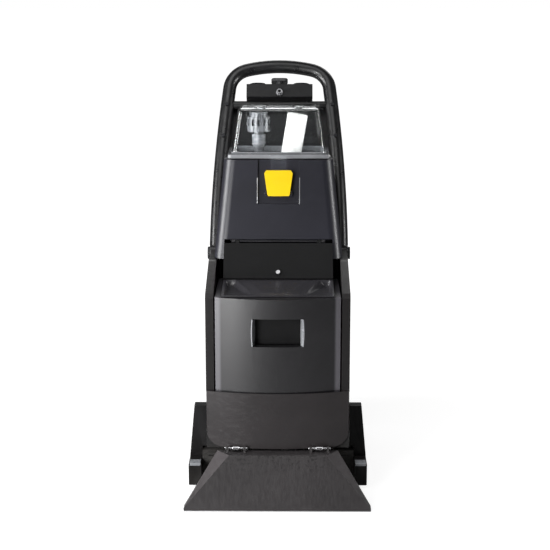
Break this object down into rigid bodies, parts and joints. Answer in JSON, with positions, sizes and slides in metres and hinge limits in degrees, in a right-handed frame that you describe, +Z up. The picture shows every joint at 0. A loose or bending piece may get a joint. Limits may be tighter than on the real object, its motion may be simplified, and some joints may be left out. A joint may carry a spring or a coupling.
{
  "type": "walk-behind carpet extractor",
  "caption": "Self-contained walk-behind carpet extractor with a brush deck, wide vacuum shoe, lift-off recovery tank under a clear dome, and a tilting loop handle.",
  "frame": {"origin": "on the floor under the middle of the machine's bounding box", "axes": "+X across the machine to its right-hand end cover as seen from the front, +Y from the vacuum shoe at the front to the handle at the back, +Z up"},
  "size_m": [0.49, 0.9199, 1.1074],
  "materials": {
    "black_shell": "moulded, satin",
    "black_tank": "moulded, satin",
    "black_funnel": "moulded, satin",
    "pale_plastic": "moulded",
    "black_door": "matte, fine grain",
    "steel_pin": "blackened",
    "pale_button": "gloss",
    "motor_grey": "satin",
    "clear_hose": "milky",
    "hose_black": "satin",
    "brass_fitting": "turned",
    "charcoal_tank": "moulded, satin",
    "seal_rubber": "matte",
    "clear_dome": "clear moulded",
    "yellow_latch": "satin",
    "grey_plastic": "moulded",
    "float_grey": "moulded",
    "white_pipe": "satin",
    "red_plastic": "satin",
    "handle_paint": "powder coated",
    "black_console": "textured",
    "zinc_screw": "black oxide",
    "red_switch": "gloss",
    "black_switch": "gloss",
    "zinc_gland": "plated",
    "black_hook": "satin",
    "plated_steel": "zinc plated",
    "black_knob": "moulded",
    "tyre_rubber": "matte",
    "hub_grey": "moulded",
    "caster_grey": "matte",
    "black_deck": "moulded",
    "black_cover": "moulded, satin",
    "belt_rubber": "matte",
    "roller_plastic": "moulded",
    "bristle_blue": "nylon bristle",
    "grey_shoe": "moulded, satin",
    "bright_lip": "worn",
    "bright_steel": "bright"
  },
  "bodies": {
    "base": {"base_shell": "black_shell", "rear_cover": "black_shell", "solution_tank": "black_tank", "fill_funnel": "black_funnel", "fill_strainer": "pale_plastic", "door_hinge_pin": "steel_pin", "vacuum_motor": "motor_grey", "solution_pump": "motor_grey", "suction_hose": "clear_hose", "pressure_hose": "hose_black", "vacuum_duct": "hose_black", "shoe_hose": "hose_black", "tool_coupling": "brass_fitting", "handle_brackets": "plated_steel", "rear_axle": "plated_steel", "caster_plates": "plated_steel", "deck_pivot": "plated_steel", "shoe_hinge": "bright_steel"},
    "fill_door": {"fill_door": "black_door"},
    "door_button": {"door_button": "pale_button"},
    "recovery_tank": {"recovery_tank": "charcoal_tank", "tank_pins": "steel_pin", "dome_gasket": "seal_rubber", "vacuum_standpipe": "grey_plastic", "shutoff_cage": "grey_plastic", "recovery_standpipe": "white_pipe", "drain_hose": "hose_black"},
    "dome": {"recovery_dome": "clear_dome"},
    "dome_latch": {"dome_latch": "yellow_latch"},
    "float": {"float_cup": "float_grey"},
    "drain_cap": {"drain_cap": "red_plastic"},
    "handle": {"handle_loop": "handle_paint", "console_panel": "black_console", "console_screws": "zinc_screw", "control_box": "black_console", "cord_gland": "zinc_gland"},
    "vacuum_switch": {"vacuum_switch": "red_switch"},
    "brush_switch": {"brush_switch": "black_switch"},
    "breaker_button": {"breaker_button": "pale_button"},
    "upper_cord_hook": {"upper_cord_hook": "black_hook"},
    "left_knob": {"left_knob": "black_knob"},
    "right_knob": {"right_knob": "black_knob"},
    "left_wheel": {"left_tyre": "tyre_rubber", "left_hub": "hub_grey"},
    "right_wheel": {"right_tyre": "tyre_rubber", "right_hub": "hub_grey"},
    "left_caster": {"left_caster_fork": "plated_steel"},
    "right_caster": {"right_caster_fork": "plated_steel"},
    "left_caster_wheel": {"left_caster_wheel": "caster_grey"},
    "right_caster_wheel": {"right_caster_wheel": "caster_grey"},
    "brush_deck": {"deck_housing": "black_deck", "end_covers": "black_cover", "spray_bar": "black_deck", "brush_motor": "motor_grey", "drive_belt": "belt_rubber"},
    "brush": {"brush_roller": "roller_plastic", "brush_bristles": "bristle_blue"},
    "motor_shaft": {"motor_pulley": "plated_steel"},
    "shoe": {"vacuum_shoe": "grey_shoe", "shoe_lip": "bright_lip"}
  },
  "joints": [
    {"name": "fill_door_hinge", "type": "hinge", "parent": "base", "child": "fill_door", "pos_m": [0, -0.0934, 0.6479], "axis": [-1, 0, 0], "range_deg": [0, 110]},
    {"name": "door_button_push", "type": "slide", "parent": "fill_door", "child": "door_button", "axis": [0, 0.7744, -0.6327], "range_m": [0, 0.003], "stiffness_N_per_m": 300, "springref_m": -0.001},
    {"name": "recovery_tank_lift", "type": "slide", "parent": "base", "child": "recovery_tank", "axis": [0, 0, 1], "range_m": [0, 0.06]},
    {"name": "dome_hinge", "type": "hinge", "parent": "recovery_tank", "child": "dome", "pos_m": [0, 0.168, 0.872], "axis": [-1, 0, 0], "range_deg": [0, 65]},
    {"name": "dome_latch_hinge", "type": "hinge", "parent": "recovery_tank", "child": "dome_latch", "pos_m": [0, -0.04263, 0.772], "axis": [1, 0, 0], "range_deg": [0, 70]},
    {"name": "float_rise", "type": "slide", "parent": "recovery_tank", "child": "float", "axis": [0, 0, 1], "range_m": [0, 0.0075]},
    {"name": "drain_cap_pull", "type": "slide", "parent": "recovery_tank", "child": "drain_cap", "axis": [0, 0, -1], "range_m": [0, 0.06]},
    {"name": "handle_tilt", "type": "hinge", "parent": "base", "child": "handle", "pos_m": [0, 0.1, 0.575], "axis": [-1, 0, 0], "range_deg": [-5, 12]},
    {"name": "vacuum_switch_rock", "type": "hinge", "parent": "handle", "child": "vacuum_switch", "pos_m": [-0.056, 0.40551, 0.99755], "axis": [1, 0, 0], "range_deg": [-8, 8]},
    {"name": "brush_switch_rock", "type": "hinge", "parent": "handle", "child": "brush_switch", "pos_m": [0, 0.40551, 0.99755], "axis": [1, 0, 0], "range_deg": [-8, 8]},
    {"name": "breaker_button_push", "type": "slide", "parent": "handle", "child": "breaker_button", "axis": [0, -0.9689, -0.2473], "range_m": [0, 0.003], "stiffness_N_per_m": 300, "springref_m": -0.001},
    {"name": "upper_cord_hook_turn", "type": "hinge", "parent": "handle", "child": "upper_cord_hook", "pos_m": [0, 0.38685, 1.03273], "axis": [0, 0.5528, 0.8333], "range_deg": [-90, 90]},
    {"name": "left_knob_turn", "type": "hinge", "parent": "base", "child": "left_knob", "pos_m": [-0.205, 0.1, 0.575], "axis": [1, 0, 0], "continuous": true},
    {"name": "right_knob_turn", "type": "hinge", "parent": "base", "child": "right_knob", "pos_m": [0.205, 0.1, 0.575], "axis": [1, 0, 0], "continuous": true},
    {"name": "left_wheel_spin", "type": "hinge", "parent": "base", "child": "left_wheel", "pos_m": [-0.182, 0.275, 0.125], "axis": [1, 0, 0], "continuous": true},
    {"name": "right_wheel_spin", "type": "hinge", "parent": "base", "child": "right_wheel", "pos_m": [0.182, 0.275, 0.125], "axis": [1, 0, 0], "continuous": true},
    {"name": "left_caster_swivel", "type": "hinge", "parent": "base", "child": "left_caster", "pos_m": [-0.125, -0.035, 0.11], "axis": [0, 0, 1], "continuous": true},
    {"name": "right_caster_swivel", "type": "hinge", "parent": "base", "child": "right_caster", "pos_m": [0.125, -0.035, 0.11], "axis": [0, 0, 1], "continuous": true},
    {"name": "left_caster_wheel_spin", "type": "hinge", "parent": "left_caster", "child": "left_caster_wheel", "pos_m": [-0.125, -0.017, 0.032], "axis": [1, 0, 0], "continuous": true},
    {"name": "right_caster_wheel_spin", "type": "hinge", "parent": "right_caster", "child": "right_caster_wheel", "pos_m": [0.125, -0.017, 0.032], "axis": [1, 0, 0], "continuous": true},
    {"name": "brush_deck_lift", "type": "hinge", "parent": "base", "child": "brush_deck", "pos_m": [0, 0.012, 0.112], "axis": [-1, 0, 0], "range_deg": [0, 4], "deforming": ["pressure_hose"]},
    {"name": "brush_spin", "type": "hinge", "parent": "brush_deck", "child": "brush", "pos_m": [0, -0.195, 0.043], "axis": [1, 0, 0], "continuous": true},
    {"name": "motor_spin", "type": "hinge", "parent": "brush_deck", "child": "motor_shaft", "pos_m": [0.2, -0.18, 0.133], "axis": [1, 0, 0], "continuous": true},
    {"name": "shoe_lift", "type": "hinge", "parent": "base", "child": "shoe", "pos_m": [0, -0.332, 0.129], "axis": [-1, 0, 0], "range_deg": [0, 25], "deforming": ["shoe_hose"]}
  ],
  "couplings": [
    {"joint": "motor_spin", "follows": "brush_spin", "ratio": 1.8333}
  ]
}
